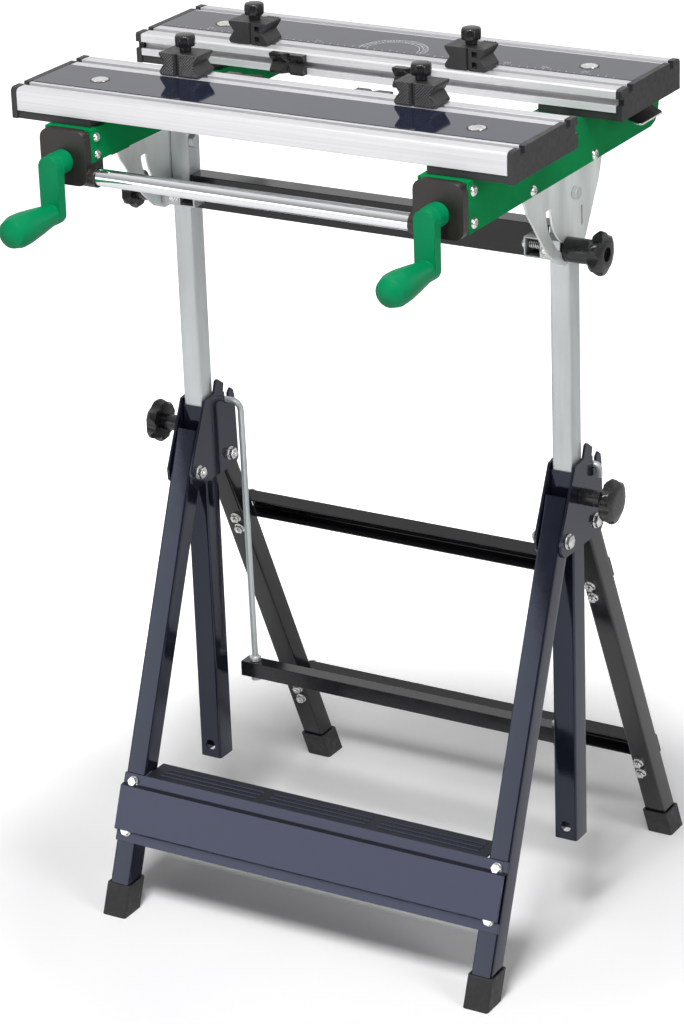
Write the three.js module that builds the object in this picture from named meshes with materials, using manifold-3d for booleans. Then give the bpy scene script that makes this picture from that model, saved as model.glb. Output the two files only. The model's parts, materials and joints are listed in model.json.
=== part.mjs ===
// Folding workbench with a tilting, height-adjustable clamping table.
// Millimetres. X runs along the jaws, Y from the cranks to the back, Z up, floor at z = 0.
import * as THREE from "three";
import { mergeVertices } from "three/addons/utils/BufferGeometryUtils.js";
import Module from "manifold-3d";

const wasm = await Module();
wasm.setup();

// Driving sizes
const FRAME_Y = 50.28; // moves the post line so that the whole bench is centred over the origin
const POST_X = 254; // middle of a post, a leg and a column
const TUBE = 30; // outer tube of a post
const TUBE_WALL = 1.6;
const COLUMN_WALL = 1.8; // inner tube that slides in the post
const POST_BOTTOM = 115;
const POST_TOP = 595;
const COLUMN_BOTTOM = 330;
const COLUMN_HEAD = 16; // column above the tilt pin
const LEG = 28; // square leg tube
const LEG_WALL = 2;
const LEG_CUT = 10; // height at which a leg ends inside its boot
const FRONT_PIVOT = { y: -35, z: 518 };
const REAR_PIVOT = { y: 37, z: 518 };
const FRONT_TILT = 21.1; // degrees from the vertical
const REAR_TILT = 23.9;
const LEG_HEAD = 50; // leg above its bolt
const CHEEK = 3; // cheek plate thickness
const BOLT = 8; // leg bolts and clamp screws
const BOOT = { height: 38, wall: 2.6 };
const UPPER_BAR_AT = 114; // down the leg from its bolt
const LOWER_BAR_AT = 436;
const CROSSBAR = { height: 30, depth: 18 };
const STEP_TOP_AT = 381; // down the front leg from its bolt
const STEP_BOTTOM_AT = 467;
const STEP_DEPTH = 40; // tread from front to back
const SHEET = 2;
const ROD = 8;
const HOOK_Y = 35.5;
const HOOK_Z = 589.8;
const HOOK_BAR = { side: 8, size: 20, y: 42, z: 225, wall: 2, rodInset: 16 }; // side: space to the legs
const TILT_PIN = { y: -6, z: 933, size: 8, head: 16, nut: 17 };
const TILT_RADIUS = 63.9; // arc slot of the tilt plate
const TILT_REST = 17.3; // degrees of the clamp screw from straight below the pin
const TILT_RANGE = 65;
const TILT_PLATE = 2.5; // thickness
const PLATE_SLIT = { y: 17, width: 3.5, top: 20, bottom: 43 }; // behind and below the tilt pin
const COLUMN_BAR = { drop: 41, height: 40 }; // below the tilt pin
const RAIL = { width: 61.5, rise: 83.3, outer: 58.3, inner: 38.3, front: -258, back: 210, sheet: 2 };
const RAIL_SLOT = { width: 18, front: 40, back: 31 };
const SPINDLE = { drop: 35.3, size: 12 };
const END_BLOCK = { thick: 12, height: 64, proud: 0.7, depth: 26 };
const CROSS_TUBE = { inset: 0.5, drop: 53.3, size: 20, wall: 1.5 };
const CRANK = { reach: 55, width: 26, thick: 13, hub: 14, stand: 18, grip: 84, gripSize: 43 };
const HEIGHT_KNOB = { z: 562, hub: 20, neck: 33, head: 57, thick: 15.5, lobes: 6, dip: 0.12, recess: 0 };
const TILT_KNOB = { hub: 29, neck: 35, head: 54, thick: 15, lobes: 6, dip: 0.13, recess: 17 };
const JAW = { half: 315, width: 151, height: 26, lift: 10, front: -250, back: 160 };
const DOG_SLOT = { at: JAW.width - 23, mouth: 10, chamber: 22, floor: 15, lip: 22 };
const OUTER_SLOT = { at: 22, mouth: 10, chamber: 16, floor: 15, lip: 21.5 };
const FACE_SLOT = { low: 8, high: 16, chamberLow: 5, chamberHigh: 19, lip: 3, depth: 10 };
const PANEL = { from: OUTER_SLOT.at + 10, to: DOG_SLOT.at - 20, thick: 4.2, proud: 0.6 };
const CAP = { thick: 7.2, proud: 0.8, guide: 4 };
const NUT = { width: 28, height: 26, length: 36, neck: 13 };
const DOG = { width: 52, depth: 34, height: 26.3, groove: 6, pocket: 7, notch: 6.5, lip: 3, foot: 5 };
const DOG_KNOB = { size: 22, height: 13.2, stem: 9, collar: 14, rise: 6.3, tee: 20 };
const DOG_AT = { front: [-166, 142], rear: [-168, 121.5] }; // left and right, along the jaw
const CLIP = { width: 46, height: 24, depth: 10, chamfer: 8, groove: 5 };
const CLIP_AT = { front: [-107, 64], rear: [-107, 58] };

// Clearances
const GAP = 0.3; // between pieces that touch
const HOLE_GAP = 0.6; // on the diameter, round a bolt
const SLIDE_GAP = 0.4;

// Inner tube, tilt plate and rail, from the post outwards
const COLUMN = TUBE - 2 * (TUBE_WALL + SLIDE_GAP);
const columnFace = COLUMN / 2;
const plateIn = POST_X + columnFace + SLIDE_GAP;
const plateOut = plateIn + TILT_PLATE;
const railOut = plateOut + GAP + RAIL.sheet;
const railIn = railOut - RAIL.width;
const railX = (railIn + railOut) / 2;

// Heights of the table, from the tilt pin up
const railTop = TILT_PIN.z + RAIL.rise;
const railLow = railTop - RAIL.outer;
const spindleZ = railTop - SPINDLE.drop;
const blockTop = railTop + END_BLOCK.proud;
const blockLow = blockTop - END_BLOCK.height;
const crossTubeY = RAIL.front + CROSS_TUBE.inset;
const crossTubeZ = railTop - CROSS_TUBE.drop;
const jawBottom = railTop + JAW.lift;
const jawTop = jawBottom + JAW.height;
const capFoot = JAW.lift - SLIDE_GAP;

// Sides of a round piece
const ROUND = 20;

const rad = THREE.MathUtils.degToRad;

// Solids
const toSolid = (geometry) => {
  const bare = new THREE.BufferGeometry();
  const flat = geometry.index ? geometry.toNonIndexed() : geometry;
  bare.setAttribute("position", flat.getAttribute("position"));
  const merged = mergeVertices(bare, 1e-4);
  return new wasm.Manifold(
    new wasm.Mesh({
      numProp: 3,
      vertProperties: new Float32Array(merged.attributes.position.array),
      triVerts: new Uint32Array(merged.index.array),
    }),
  );
};
const toGeometry = (solid) => {
  const mesh = solid.getMesh();
  const geometry = new THREE.BufferGeometry();
  geometry.setAttribute("position", new THREE.BufferAttribute(mesh.vertProperties, 3));
  geometry.setIndex(new THREE.BufferAttribute(mesh.triVerts, 1));
  geometry.computeVertexNormals();
  return geometry;
};
const join = (...solids) => solids.reduce((sum, solid) => sum.add(solid));
const cut = (solid, ...tools) => tools.reduce((rest, tool) => rest.subtract(tool), solid);

const box = (x0, x1, y0, y1, z0, z1) => {
  const geometry = new THREE.BoxGeometry(x1 - x0, y1 - y0, z1 - z0);
  geometry.translate((x0 + x1) / 2, (y0 + y1) / 2, (z0 + z1) / 2);
  return toSolid(geometry);
};
const shapeOf = (points, holes = []) => {
  const shape = new THREE.Shape(points.map(([a, b]) => new THREE.Vector2(a, b)));
  shape.holes = holes.map((hole) => new THREE.Path(hole.map(([a, b]) => new THREE.Vector2(a, b))));
  return shape;
};
const prism = (shape, depth) => new THREE.ExtrudeGeometry(shape, { depth, bevelEnabled: false });
// Outline in (y, z), running along X from x0 to x1
const alongX = (points, x0, x1, holes) => {
  const geometry = prism(shapeOf(points, holes), x1 - x0);
  const turn = new THREE.Matrix4().makeBasis(
    new THREE.Vector3(0, 1, 0),
    new THREE.Vector3(0, 0, 1),
    new THREE.Vector3(1, 0, 0),
  );
  geometry.applyMatrix4(turn).translate(x0, 0, 0);
  return toSolid(geometry);
};
// Outline in (x, z), running along Y from y0 to y1
const alongY = (points, y0, y1, holes) => {
  const geometry = prism(shapeOf(points, holes), y1 - y0);
  const turn = new THREE.Matrix4().makeBasis(
    new THREE.Vector3(1, 0, 0),
    new THREE.Vector3(0, 0, 1),
    new THREE.Vector3(0, -1, 0),
  );
  geometry.applyMatrix4(turn).translate(0, y1, 0);
  return toSolid(geometry);
};
// Outline in (x, y), running along Z from z0 to z1
const alongZ = (points, z0, z1, holes) =>
  toSolid(prism(shapeOf(points, holes), z1 - z0).translate(0, 0, z0));
const rodX = (size, x0, x1, y, z, sides = ROUND) => {
  const geometry = new THREE.CylinderGeometry(size / 2, size / 2, x1 - x0, sides);
  return toSolid(geometry.rotateZ(-Math.PI / 2).translate((x0 + x1) / 2, y, z));
};
const rodY = (size, y0, y1, x, z, sides = ROUND) => {
  const geometry = new THREE.CylinderGeometry(size / 2, size / 2, y1 - y0, sides);
  return toSolid(geometry.translate(x, (y0 + y1) / 2, z));
};
const rodZ = (size, z0, z1, x, y, sides = ROUND) => {
  const geometry = new THREE.CylinderGeometry(size / 2, size / 2, z1 - z0, sides);
  return toSolid(geometry.rotateX(Math.PI / 2).translate(x, y, (z0 + z1) / 2));
};
const rounded = (a0, a1, b0, b1, radius, steps = 4) => {
  const points = [];
  const corner = (a, b, start) => {
    for (let i = 0; i <= steps; i++) {
      const angle = start + ((Math.PI / 2) * i) / steps;
      points.push([a + radius * Math.cos(angle), b + radius * Math.sin(angle)]);
    }
  };
  corner(a1 - radius, b1 - radius, 0);
  corner(a0 + radius, b1 - radius, Math.PI / 2);
  corner(a0 + radius, b0 + radius, Math.PI);
  corner(a1 - radius, b0 + radius, -Math.PI / 2);
  return points;
};
const square = (size, radius) => rounded(-size / 2, size / 2, -size / 2, size / 2, radius, 2);
// Lobed outline of a hand knob
const lobed = (size, lobes, dip) => {
  const points = [];
  const steps = lobes * 8;
  for (let i = 0; i < steps; i++) {
    const angle = (2 * Math.PI * i) / steps;
    const radius = (size / 2) * (1 - dip * (1 - Math.cos(lobes * angle)));
    points.push([radius * Math.cos(angle), radius * Math.sin(angle)]);
  }
  return points;
};

// Assembly
const bench = new THREE.Group();
bench.position.y = FRAME_Y;
const paint = { color: 0x43464c, metalness: 0.3, roughness: 0.35 };
const green = { color: 0x007a40, metalness: 0.1, roughness: 0.4 };
const zinc = { color: 0xc4c8ca, metalness: 0.9, roughness: 0.4 };
const chrome = { color: 0xe4e6e8, metalness: 1, roughness: 0.1 };
const aluminium = { color: 0xd8dadc, metalness: 0.9, roughness: 0.3 };
const black = { color: 0x2c2c2c, metalness: 0, roughness: 0.6 };
const slate = { color: 0x6c727c, metalness: 0, roughness: 0.15 };
const place = (name, solid, look, mirrored = false) => {
  const mesh = new THREE.Mesh(toGeometry(solid), new THREE.MeshStandardMaterial(look));
  mesh.name = name;
  if (mirrored) mesh.scale.x = -1;
  bench.add(mesh);
};
// Right-hand piece and its mirror image
const placePair = (name, solid, look) => {
  place(`${name}_right`, solid, look);
  place(`${name}_left`, solid, look, true);
};

// Posts: outer tube with two cheek plates welded to it
const cheekIn = TUBE / 2 - 0.2;
const cheekOut = TUBE / 2 + CHEEK;
const notch = ROD / 2 + 0.5;
const cheekOutline = [
  [1 - TUBE / 2, POST_TOP + 8],
  [FRONT_PIVOT.y - 17, FRONT_PIVOT.z + 4],
  [FRONT_PIVOT.y - 16, FRONT_PIVOT.z - 10],
  [FRONT_PIVOT.y - 7, FRONT_PIVOT.z - 19],
  [REAR_PIVOT.y + 13, REAR_PIVOT.z - 19],
  [REAR_PIVOT.y + 20, REAR_PIVOT.z - 12],
  [HOOK_Y + 18.5, HOOK_Z - 2],
  [HOOK_Y + 16.5, HOOK_Z + 7],
  [HOOK_Y + 10.5, HOOK_Z + 12],
  [HOOK_Y + notch, HOOK_Z + 7],
  [HOOK_Y + notch, HOOK_Z - ROD / 2 - GAP],
  [HOOK_Y - notch, HOOK_Z - ROD / 2 - GAP],
  [HOOK_Y - notch, POST_TOP + 6],
  [HOOK_Y - 7, POST_TOP + 8],
  [HOOK_Y - 5, POST_TOP + 18],
  [18, POST_TOP + 27],
  [13, POST_TOP + 26],
  [8, POST_TOP + 11],
];
const cheek = (x0, x1) => alongX(cheekOutline, POST_X + x0, POST_X + x1);
const postTube = alongZ(square(TUBE, 3), POST_BOTTOM, POST_TOP, [square(TUBE - 2 * TUBE_WALL, 1.2)]);
const boltHole = (pivot) =>
  rodX(BOLT + HOLE_GAP, POST_X - 2 * TUBE, POST_X + 2 * TUBE, pivot.y, pivot.z);
const post = cut(
  join(
    toSolid(toGeometry(postTube).translate(POST_X, 0, 0)),
    cheek(-cheekOut, -cheekIn),
    cheek(cheekIn, cheekOut),
  ),
  boltHole(FRONT_PIVOT),
  boltHole(REAR_PIVOT),
  rodX(BOLT + HOLE_GAP, POST_X, POST_X + 2 * TUBE, 0, HEIGHT_KNOB.z),
  rodY(14, -TUBE, 0, POST_X, POST_BOTTOM + 17),
);
placePair("post", post, paint);

// Legs: square tubes on one bolt each, stopped by the post behind or in front of their heads
const leg = (pivot, tilt, side) => {
  const length = pivot.z / Math.cos(rad(tilt)) + LEG;
  const tube = prism(shapeOf(square(LEG, 3), [square(LEG - 2 * LEG_WALL, 1)]), length + LEG_HEAD);
  tube.translate(0, 0, -length).rotateX(side * rad(tilt)).translate(POST_X, pivot.y, pivot.z);
  const stop = side * (TUBE / 2 + SLIDE_GAP);
  const postSpace = box(
    POST_X - TUBE,
    POST_X + TUBE,
    Math.min(stop, stop - side * TUBE),
    Math.max(stop, stop - side * TUBE),
    POST_BOTTOM,
    POST_TOP + TUBE,
  );
  const floor = box(POST_X - TUBE, POST_X + TUBE, -pivot.z, pivot.z, -2 * LEG, LEG_CUT);
  return cut(toSolid(tube), postSpace, floor, boltHole(pivot));
};
const frontLeg = leg(FRONT_PIVOT, FRONT_TILT, -1);
const rearLeg = leg(REAR_PIVOT, REAR_TILT, 1);
placePair("front_leg", frontLeg, paint);
placePair("rear_leg", rearLeg, paint);

// Boots: moulded sleeves round the leg ends
const legForm = (pivot, tilt, side, size, from, to) => {
  const length = pivot.z / Math.cos(rad(tilt)) + LEG;
  const tube = prism(shapeOf(square(size, 3)), length);
  tube.translate(0, 0, -length).rotateX(side * rad(tilt)).translate(POST_X, pivot.y, pivot.z);
  const above = box(POST_X - TUBE, POST_X + TUBE, -pivot.z, pivot.z, to, pivot.z + LEG);
  const below = box(POST_X - TUBE, POST_X + TUBE, -pivot.z, pivot.z, -2 * LEG, from);
  return cut(toSolid(tube), above, below);
};
const boot = (pivot, tilt, side) =>
  cut(
    legForm(pivot, tilt, side, LEG + 2 * (GAP + BOOT.wall), 0, BOOT.height),
    legForm(pivot, tilt, side, LEG + 2 * GAP, LEG_CUT - GAP, BOOT.height + TUBE),
  );
placePair("front_boot", boot(FRONT_PIVOT, FRONT_TILT, -1), black);
placePair("rear_boot", boot(REAR_PIVOT, REAR_TILT, 1), black);

// Leg bolts, with head and nut outside the cheeks
const legBolt = (pivot) => {
  const inner = POST_X - cheekOut - GAP;
  const outer = POST_X + cheekOut + GAP;
  return join(
    rodX(BOLT, inner - 6, outer + 5, pivot.y, pivot.z, 14),
    rodX(13, inner - 6, inner, pivot.y, pivot.z, 6),
    rodX(14, outer, outer + 5, pivot.y, pivot.z, 14),
  );
};
placePair("front_leg_bolt", legBolt(FRONT_PIVOT), zinc);
placePair("rear_leg_bolt", legBolt(REAR_PIVOT), zinc);

// A point beside a leg: s down the leg from its bolt, t away from the posts
const besideLeg = (pivot, tilt, side) => (s, t) => {
  const sin = Math.sin(rad(tilt));
  const cos = Math.cos(rad(tilt));
  return [pivot.y + side * (s * sin + t * cos), pivot.z - s * cos + t * sin];
};

// Crossbars: channels behind the rear legs, open towards them
const behindRear = besideLeg(REAR_PIVOT, REAR_TILT, 1);
const crossbar = (at) => {
  const top = at - CROSSBAR.height / 2;
  const low = at + CROSSBAR.height / 2;
  const near = LEG / 2 + GAP;
  const far = near + CROSSBAR.depth;
  const outline = [
    [top, near],
    [top + SHEET, near],
    [top + SHEET, far - SHEET],
    [low - SHEET, far - SHEET],
    [low - SHEET, near],
    [low, near],
    [low, far],
    [top, far],
  ];
  return alongX(outline.map(([s, t]) => behindRear(s, t)), -POST_X - 2, POST_X + 2);
};
place("upper_crossbar", crossbar(UPPER_BAR_AT), paint);
place("lower_crossbar", crossbar(LOWER_BAR_AT), paint);

// Step board: pressed sheet on the front legs, with a tread between them
const beforeFront = besideLeg(FRONT_PIVOT, FRONT_TILT, -1);
const skinFront = LEG / 2 + GAP + SHEET;
const skinLine = [
  [STEP_TOP_AT, skinFront],
  [STEP_TOP_AT + 13, skinFront],
  [STEP_TOP_AT + 16, skinFront + 7],
  [STEP_BOTTOM_AT - 15, skinFront + 7],
  [STEP_BOTTOM_AT - 12, skinFront],
  [STEP_BOTTOM_AT, skinFront],
];
const skinOutline = [
  ...skinLine.map(([s, t]) => beforeFront(s, t)),
  ...skinLine.map(([s, t]) => beforeFront(s, t - SHEET)).reverse(),
].reverse();
const stepCorner = beforeFront(STEP_TOP_AT, skinFront);
const treadHalf = POST_X - LEG / 2 - 2;
const treadTop = stepCorner[1];
const treadBack = stepCorner[0] + STEP_DEPTH;
const tread = join(
  box(-treadHalf, treadHalf, stepCorner[0], treadBack, treadTop - SHEET, treadTop),
  box(-treadHalf, treadHalf, treadBack - SHEET, treadBack, treadTop - 14, treadTop),
);
const treadRib = (x0, x1, share) => {
  const y = stepCorner[0] + STEP_DEPTH * share;
  return box(x0, x1, y - 2, y + 2, treadTop - SHEET / 2, treadTop + 1.2);
};
const ribGap = TUBE / 2;
const ribSpan = (2 * treadHalf - 4 * ribGap) / 3;
const ribs = [0, 1, 2].flatMap((i) => {
  const from = ribGap - treadHalf + i * (ribSpan + ribGap);
  return [0.28, 0.5, 0.72].map((share) => treadRib(from, from + ribSpan, share));
});
const skin = alongX(skinOutline, -POST_X - LEG / 2, POST_X + LEG / 2);
place("front_step", join(skin, tread, ...ribs), paint);

// Hook bar and its two rods, whose bent ends lie in the notches of the cheeks
const barHalf = HOOK_BAR.size / 2;
const hookBarEnd = POST_X - LEG / 2 - HOOK_BAR.side;
const rodAt = hookBarEnd - HOOK_BAR.rodInset;
const hookX = POST_X + cheekOut + ROD / 2 + 2;
const rodPoints = [[rodAt, HOOK_BAR.y, HOOK_BAR.z - barHalf - 5]];
const rodBend = (x, z, radius, from, to) => {
  for (let i = 0; i <= 5; i++) {
    const angle = rad(from + ((to - from) * i) / 5);
    rodPoints.push([x + radius * Math.cos(angle), HOOK_Y, z + radius * Math.sin(angle)]);
  }
};
rodBend(rodAt + 12, HOOK_Z - 12, 12, 180, 90);
rodBend(hookX - 6, HOOK_Z - 6, 6, 90, 0);
rodPoints.push([hookX, HOOK_Y, HOOK_Z - 15]);
// Path through given points, with a square joint at each of them
class BentPath extends THREE.Curve {
  constructor(points) {
    super();
    this.points = points.map((point) => new THREE.Vector3(...point));
  }
  getUtoTmapping(u) {
    return u;
  }
  getPoint(t) {
    const last = this.points.length - 1;
    const i = Math.min(Math.floor(t * last + 1e-6), last - 1);
    return this.points[i].clone().lerp(this.points[i + 1], t * last - i);
  }
  getTangent(t) {
    const last = this.points.length - 1;
    const i = Math.round(t * last);
    const way = (j) => this.points[j + 1].clone().sub(this.points[j]).normalize();
    return way(Math.max(i - 1, 0)).add(way(Math.min(i, last - 1))).normalize();
  }
}
const disc = [];
for (let i = 0; i < 10; i++) {
  const angle = (2 * Math.PI * i) / 10;
  disc.push([(ROD / 2) * Math.cos(angle), (ROD / 2) * Math.sin(angle)]);
}
const rodSweep = new THREE.ExtrudeGeometry(shapeOf(disc), {
  steps: rodPoints.length - 1,
  extrudePath: new BentPath(rodPoints),
  bevelEnabled: false,
});
const barTop = HOOK_BAR.z + barHalf;
const barLow = HOOK_BAR.z - barHalf;
const hookRod = join(
  toSolid(rodSweep),
  rodZ(15, barTop + GAP, barTop + 6, rodAt, HOOK_BAR.y, 6),
  rodZ(13, barLow - 6, barLow - GAP, rodAt, HOOK_BAR.y, 20),
);
placePair("hook_rod", hookRod, zinc);
const barRodHole = (side) =>
  rodZ(ROD + 2 * HOLE_GAP, barLow - 5, barTop + 5, side * rodAt, HOOK_BAR.y);
const barIn = barHalf - HOOK_BAR.wall;
const hookBar = cut(
  box(-hookBarEnd, hookBarEnd, HOOK_BAR.y - barHalf, HOOK_BAR.y + barHalf, barLow, barTop),
  box(
    HOOK_BAR.wall - hookBarEnd,
    hookBarEnd - HOOK_BAR.wall,
    HOOK_BAR.y - barIn,
    HOOK_BAR.y + barIn,
    HOOK_BAR.z - barIn,
    HOOK_BAR.z + barIn,
  ),
  barRodHole(1),
  barRodHole(-1),
);
place("hook_bar", hookBar, paint);

// Columns: inner tubes with the clamp lug welded in front
const clampAngle = rad(TILT_REST);
const CLAMP = {
  y: TILT_PIN.y - TILT_RADIUS * Math.sin(clampAngle),
  z: TILT_PIN.z - TILT_RADIUS * Math.cos(clampAngle),
};
const lugFront = CLAMP.y - 12;
const strapEnd = POST_X - columnFace - 20;
const strapGap = -columnFace - 1.4;
const columnTube = alongZ(square(COLUMN, 2.5), COLUMN_BOTTOM, TILT_PIN.z + COLUMN_HEAD, [
  square(COLUMN - 2 * COLUMN_WALL, 1),
]);
const lug = cut(
  join(
    box(POST_X - columnFace, POST_X + columnFace, lugFront, 0.5 - columnFace, CLAMP.z - 12, CLAMP.z + 12),
    box(strapEnd, POST_X, lugFront, strapGap, CLAMP.z + 10, CLAMP.z + 12),
    box(strapEnd, POST_X, lugFront, strapGap, CLAMP.z - 12, CLAMP.z - 10),
    box(strapEnd, strapEnd + SHEET, lugFront, strapGap, CLAMP.z - 12, CLAMP.z + 12),
  ),
  rodX(BOLT + HOLE_GAP, strapEnd - 5, POST_X + TUBE, CLAMP.y, CLAMP.z),
);
const column = cut(
  join(toSolid(toGeometry(columnTube).translate(POST_X, 0, 0)), lug),
  rodX(TILT_PIN.size + HOLE_GAP, POST_X - TUBE, POST_X + TUBE, TILT_PIN.y, TILT_PIN.z),
);
placePair("column", column, zinc);

// Channel between the columns
const barReach = POST_X - columnFace - GAP;
const channelTop = TILT_PIN.z - COLUMN_BAR.drop;
const channelLow = channelTop - COLUMN_BAR.height;
const channel = [
  [columnFace, channelLow],
  [columnFace, channelLow + SHEET],
  [SHEET - columnFace, channelLow + SHEET],
  [SHEET - columnFace, channelTop - SHEET],
  [columnFace, channelTop - SHEET],
  [columnFace, channelTop],
  [-columnFace, channelTop],
  [-columnFace, channelLow],
];
place("column_crossbar", alongX([...channel].reverse(), -barReach, barReach), paint);

// Tilt pins through column and tilt plate
const tiltPin = join(
  rodX(TILT_PIN.size, POST_X - columnFace - 7, plateOut + 6, TILT_PIN.y, TILT_PIN.z, 20),
  rodX(TILT_PIN.nut, POST_X - columnFace - 7, POST_X - columnFace - GAP, TILT_PIN.y, TILT_PIN.z, 6),
  rodX(TILT_PIN.head, plateOut + GAP, plateOut + 6, TILT_PIN.y, TILT_PIN.z, 6),
);
placePair("tilt_pin", tiltPin, zinc);

// Hand knobs: domed lobed heads on a hub, with their screws
const knobDome = [
  [0, 0],
  [0.42, 0],
  [0.5, 0.4],
  [0.46, 0.75],
  [0.34, 0.95],
  [0.24, 1],
  [0, 1],
];
const knob = (size, x0, screwFrom, y, z) => {
  const headFrom = x0 + size.neck;
  const headTo = headFrom + size.thick;
  const star = prism(shapeOf(lobed(size.head, size.lobes, size.dip)), size.thick);
  star.rotateY(Math.PI / 2).translate(headFrom, y, z);
  const dome = new THREE.LatheGeometry(
    knobDome.map(([r, h]) => new THREE.Vector2(r * size.head, h * size.thick)),
    ROUND,
  );
  dome.rotateZ(-Math.PI / 2).translate(headFrom, y, z);
  const body = join(
    toSolid(star).intersect(toSolid(dome)),
    rodX(size.hub, x0, headFrom + 1, y, z),
    rodX(BOLT, screwFrom, x0 + 1, y, z, 20),
  );
  if (!size.recess) return body;
  return cut(body, rodX(size.recess, headTo - 5, headTo + 1, y, z));
};
const heightKnob = knob(
  HEIGHT_KNOB,
  POST_X + cheekOut + GAP,
  POST_X + columnFace + SLIDE_GAP,
  0,
  HEIGHT_KNOB.z,
);
placePair("height_knob", heightKnob, black);
const tiltKnob = knob(TILT_KNOB, plateOut + 2 * GAP, strapEnd - 4, CLAMP.y, CLAMP.z);
placePair("tilt_knob", tiltKnob, black);

// Tilt plates with the arc slot that the clamp screw runs in
const arc = (radius, from, to, steps) => {
  const points = [];
  for (let i = 0; i <= steps; i++) {
    const angle = rad(from + ((to - from) * i) / steps);
    points.push([TILT_PIN.y - radius * Math.sin(angle), TILT_PIN.z - radius * Math.cos(angle)]);
  }
  return points;
};
const slotHalf = BOLT / 2 + 1.3;
const slotFrom = TILT_REST - 5;
const slotTo = TILT_REST + TILT_RANGE + 5;
const arcSlot = [
  ...arc(TILT_RADIUS + slotHalf, slotFrom, slotTo, 14),
  ...arc(TILT_RADIUS - slotHalf, slotFrom, slotTo, 14).reverse(),
];
const railInside = railTop - RAIL.sheet - 6;
const fromPin = ([y, z]) => [TILT_PIN.y + y, TILT_PIN.z + z];
const plateEdge = [
  [-123, 24],
  [-113, 5],
  [-70, -50],
  [-47, -71],
  [-24, -80],
  [8, -79],
  [28, -60],
  [62, -2],
  [70, 20],
  [70, 24],
].map(fromPin);
const plateOutline = [
  [plateEdge[0][0], railInside],
  ...plateEdge,
  [plateEdge.at(-1)[0], railInside],
];
const tiltPlate = cut(
  alongX(plateOutline, plateIn, plateOut),
  alongX(arcSlot, plateIn - 1, plateOut + 1),
  rodX(TILT_PIN.size + HOLE_GAP, plateIn - 1, plateOut + 1, TILT_PIN.y, TILT_PIN.z),
  box(
    plateIn - 1,
    plateOut + 1,
    TILT_PIN.y + PLATE_SLIT.y,
    TILT_PIN.y + PLATE_SLIT.y + PLATE_SLIT.width,
    TILT_PIN.z - PLATE_SLIT.bottom,
    TILT_PIN.z - PLATE_SLIT.top,
  ),
);
placePair("tilt_plate", tiltPlate, zinc);

// Rails: bent sheet with a deep outer wall, a short inner wall and a slotted top
const outerWall = [
  [RAIL.front, railLow],
  [RAIL.back - 22, railLow],
  [RAIL.back - 10, railLow + 4],
  [RAIL.back - 3, railLow + 13],
  [RAIL.back, railLow + 26],
  [RAIL.back, railTop],
  [RAIL.front, railTop],
];
const slotSide = RAIL_SLOT.width / 2;
const slotFront = RAIL.front + RAIL_SLOT.front;
const slotBack = RAIL.back - RAIL_SLOT.back;
const rail = cut(
  join(
    alongX(outerWall, railOut - RAIL.sheet, railOut),
    box(railIn, railIn + RAIL.sheet, RAIL.front, RAIL.back, railTop - RAIL.inner, railTop),
    box(railIn, railOut, RAIL.front, RAIL.back, railTop - RAIL.sheet, railTop),
  ),
  box(
    railX - slotSide,
    railX + slotSide,
    slotFront,
    slotBack,
    railTop - 2 * RAIL.sheet,
    railTop + RAIL.sheet,
  ),
);
placePair("rail", rail, green);

// End blocks: plate in front of the rail, plug inside it, boss for the cross tube
const plateBack = RAIL.front - GAP;
const plateFront = plateBack - END_BLOCK.thick;
const plugIn = railIn + RAIL.sheet + GAP;
const plugOut = railOut - RAIL.sheet - GAP;
const tubeSocket = CROSS_TUBE.size + 2 * GAP;
const ringIn = railIn - 8;
const plugTop = railTop - RAIL.sheet - GAP;
const endBlock = cut(
  join(
    alongY(rounded(railIn, railOut, blockLow, blockTop, 12), plateFront, plateBack),
    box(plugIn, plugOut, plateBack - 1, plateBack + END_BLOCK.depth, crossTubeZ, plugTop),
    rodX(tubeSocket + 4, ringIn, plugIn + 24, crossTubeY, crossTubeZ),
  ),
  rodX(tubeSocket, ringIn - 1, plugIn + 20, crossTubeY, crossTubeZ),
  rodY(SPINDLE.size + HOLE_GAP, plateFront - 1, plateBack + 2 * END_BLOCK.depth, railX, spindleZ),
);
placePair("end_block", endBlock, black);
const tubeReach = plugIn + 19;
const crossTube = cut(
  rodX(CROSS_TUBE.size, -tubeReach, tubeReach, crossTubeY, crossTubeZ),
  rodX(CROSS_TUBE.size - 2 * CROSS_TUBE.wall, -POST_X, POST_X, crossTubeY, crossTubeZ),
);
place("cross_tube", crossTube, chrome);

// Spindles and cranks
const hubBack = plateFront - GAP;
const hubFront = hubBack - CRANK.stand;
const armFront = hubFront - CRANK.thick;
const spindle = rodY(SPINDLE.size, armFront + 4, slotBack - 20, railX, spindleZ, 24);
placePair("spindle", spindle, zinc);
const armHalf = CRANK.width / 2;
const gripZ = spindleZ - CRANK.reach;
const armOutline = [];
for (let i = 0; i <= 12; i++) {
  const angle = (Math.PI * i) / 12;
  armOutline.push([railX + armHalf * Math.cos(angle), spindleZ + armHalf * Math.sin(angle)]);
}
for (let i = 0; i <= 12; i++) {
  const angle = Math.PI + (Math.PI * i) / 12;
  armOutline.push([railX + armHalf * Math.cos(angle), gripZ + armHalf * Math.sin(angle)]);
}
const gripProfile = [
  [0, 0],
  [0.29, 0],
  [0.31, 0.1],
  [0.38, 0.36],
  [0.44, 0.62],
  [0.45, 0.79],
  [0.38, 0.93],
  [0.2, 0.99],
  [0, 1],
];
const grip = new THREE.LatheGeometry(
  gripProfile.map(([r, h]) => new THREE.Vector2(r * CRANK.gripSize, h * (CRANK.grip + 1))),
  24,
);
grip.rotateX(Math.PI).translate(railX, armFront + 1, gripZ);
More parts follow.
